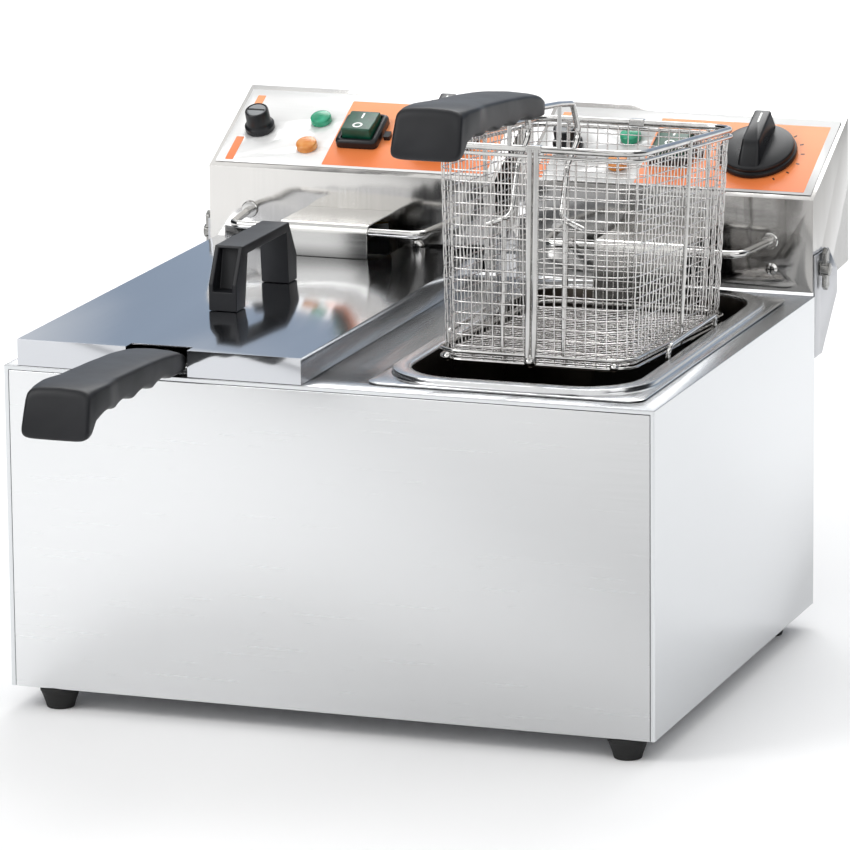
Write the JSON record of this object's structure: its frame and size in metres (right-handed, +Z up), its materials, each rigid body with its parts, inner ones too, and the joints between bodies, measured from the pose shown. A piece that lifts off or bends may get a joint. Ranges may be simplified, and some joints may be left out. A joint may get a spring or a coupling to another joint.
{
  "type": "deep fryer",
  "caption": "Counter-top electric deep fryer with side-by-side lift-out oil tanks, hinged control heads, wire baskets with grips and a lid.",
  "frame": {"origin": "under the middle of the bounding box, on the plane the feet stand on", "axes": "+X to the right of a user at the front, +Y from the front to the control heads, +Z up"},
  "size_m": [0.464, 0.6438, 0.4452],
  "materials": {
    "polished_steel": "polished stainless sheet, mirror-like with soft streaks",
    "brushed_steel": "satin stainless sheet",
    "wire_steel": "bright plated wire and turned steel",
    "element_steel": "oxidised steel sheath of the heating element",
    "brass": "brass and copper of the thermostats",
    "black_plastic": "moulded black heat-proof plastic, slightly grained",
    "black_rubber": "black rubber",
    "green_lens": "translucent green plastic",
    "amber_lens": "translucent amber plastic",
    "printed_foil": "satin foil printed in orange on the steel"
  },
  "bodies": {
    "casing": {"casing_wrap": "polished_steel", "front_panel": "polished_steel", "back_panel": "brushed_steel", "base_plate": "brushed_steel", "foot_front_left": "black_rubber", "foot_front_right": "black_rubber", "foot_rear_left": "black_rubber", "foot_rear_right": "black_rubber", "head_bracket_left": "brushed_steel", "head_bracket_middle": "brushed_steel", "head_bracket_right": "brushed_steel", "left_tank": "brushed_steel", "right_tank": "brushed_steel", "left_basket_mesh": "wire_steel", "left_basket_frame": "wire_steel", "left_basket_grip": "black_plastic", "left_head_shell": "polished_steel", "left_head_back_cover": "brushed_steel", "left_cable_gland": "black_plastic", "left_panel_overlay": "printed_foil", "left_green_lamp": "green_lens", "left_amber_lamp": "amber_lens", "left_rocker_bezel": "black_plastic", "left_thermostat": "brass", "left_limiter": "brass", "left_hanger_rod": "wire_steel", "left_element_cover": "polished_steel", "left_heating_element": "element_steel", "left_wall_screw": "wire_steel"},
    "lid": {"lid": "polished_steel", "lid_handle": "black_plastic"},
    "right_head": {"right_head_shell": "polished_steel", "right_head_back_cover": "brushed_steel", "right_cable_gland": "black_plastic", "right_panel_overlay": "printed_foil", "right_green_lamp": "green_lens", "right_amber_lamp": "amber_lens", "right_rocker_bezel": "black_plastic", "right_thermostat": "brass", "right_limiter": "brass", "right_hanger_rod": "wire_steel", "right_element_cover": "polished_steel", "right_heating_element": "element_steel", "right_wall_screw": "wire_steel"},
    "right_basket": {"right_basket_mesh": "wire_steel", "right_basket_frame": "wire_steel", "right_basket_grip": "black_plastic"},
    "left_knob": {"left_thermostat_knob": "black_plastic"},
    "right_knob": {"right_thermostat_knob": "black_plastic"},
    "left_switch": {"left_rocker": "green_lens"},
    "right_switch": {"right_rocker": "green_lens"},
    "left_cap": {"left_reset_cap": "black_plastic"},
    "right_cap": {"right_reset_cap": "black_plastic"},
    "left_wing_screw": {"wing_screw_left": "wire_steel"},
    "right_wing_screw": {"wing_screw_right": "wire_steel"},
    "left_bail_left": {"left_tank_bail_left": "wire_steel"},
    "left_bail_right": {"left_tank_bail_right": "wire_steel"},
    "right_bail_left": {"right_tank_bail_left": "wire_steel"},
    "right_bail_right": {"right_tank_bail_right": "wire_steel"}
  },
  "joints": [
    {"name": "lid_draw", "type": "slide", "parent": "casing", "child": "lid", "axis": [0, -0.9703, 0.2419], "range_m": [0, 0.45]},
    {"name": "right_head_tilt", "type": "hinge", "parent": "casing", "child": "right_head", "pos_m": [0.116, 0.2316, 0.251], "axis": [-1, 0, 0], "range_deg": [0, 75]},
    {"name": "right_basket_lift", "type": "slide", "parent": "right_head", "child": "right_basket", "axis": [0, 0, 1], "range_m": [0, 0.2]},
    {"name": "left_knob_turn", "type": "hinge", "parent": "casing", "child": "left_knob", "pos_m": [-0.0607, 0.2602, 0.322], "axis": [0, 0.4464, -0.8948], "range_deg": [0, 270]},
    {"name": "left_switch_rock", "type": "hinge", "parent": "casing", "child": "left_switch", "pos_m": [-0.1208, 0.25511, 0.32795], "axis": [1, 0, 0], "range_deg": [0, 14]},
    {"name": "left_cap_unscrew", "type": "hinge", "parent": "casing", "child": "left_cap", "pos_m": [-0.1993, 0.25877, 0.32129], "axis": [0, -0.4464, 0.8948], "range_deg": [0, 720]},
    {"name": "right_knob_turn", "type": "hinge", "parent": "right_head", "child": "right_knob", "pos_m": [0.1713, 0.2602, 0.322], "axis": [0, 0.4464, -0.8948], "range_deg": [0, 270]},
    {"name": "right_switch_rock", "type": "hinge", "parent": "right_head", "child": "right_switch", "pos_m": [0.1112, 0.25511, 0.32795], "axis": [1, 0, 0], "range_deg": [0, 14]},
    {"name": "right_cap_unscrew", "type": "hinge", "parent": "right_head", "child": "right_cap", "pos_m": [0.0327, 0.25877, 0.32129], "axis": [0, -0.4464, 0.8948], "range_deg": [0, 720]},
    {"name": "left_wing_screw_turn", "type": "hinge", "parent": "casing", "child": "left_wing_screw", "pos_m": [-0.229, 0.2316, 0.251], "axis": [-1, 0, 0], "range_deg": [0, 720]},
    {"name": "right_wing_screw_turn", "type": "hinge", "parent": "casing", "child": "right_wing_screw", "pos_m": [0.229, 0.2316, 0.251], "axis": [1, 0, 0], "range_deg": [0, 720]},
    {"name": "left_bail_left_swing", "type": "hinge", "parent": "casing", "child": "left_bail_left", "pos_m": [-0.1911, 0.0346, 0.228], "axis": [0, 1, 0], "range_deg": [0, 90]},
    {"name": "left_bail_right_swing", "type": "hinge", "parent": "casing", "child": "left_bail_right", "pos_m": [-0.0419, 0.0346, 0.228], "axis": [0, -1, 0], "range_deg": [0, 90]},
    {"name": "right_bail_left_swing", "type": "hinge", "parent": "casing", "child": "right_bail_left", "pos_m": [0.0419, 0.0346, 0.228], "axis": [0, 1, 0], "range_deg": [0, 15]},
    {"name": "right_bail_right_swing", "type": "hinge", "parent": "casing", "child": "right_bail_right", "pos_m": [0.1911, 0.0346, 0.228], "axis": [0, -1, 0], "range_deg": [0, 15]}
  ]
}
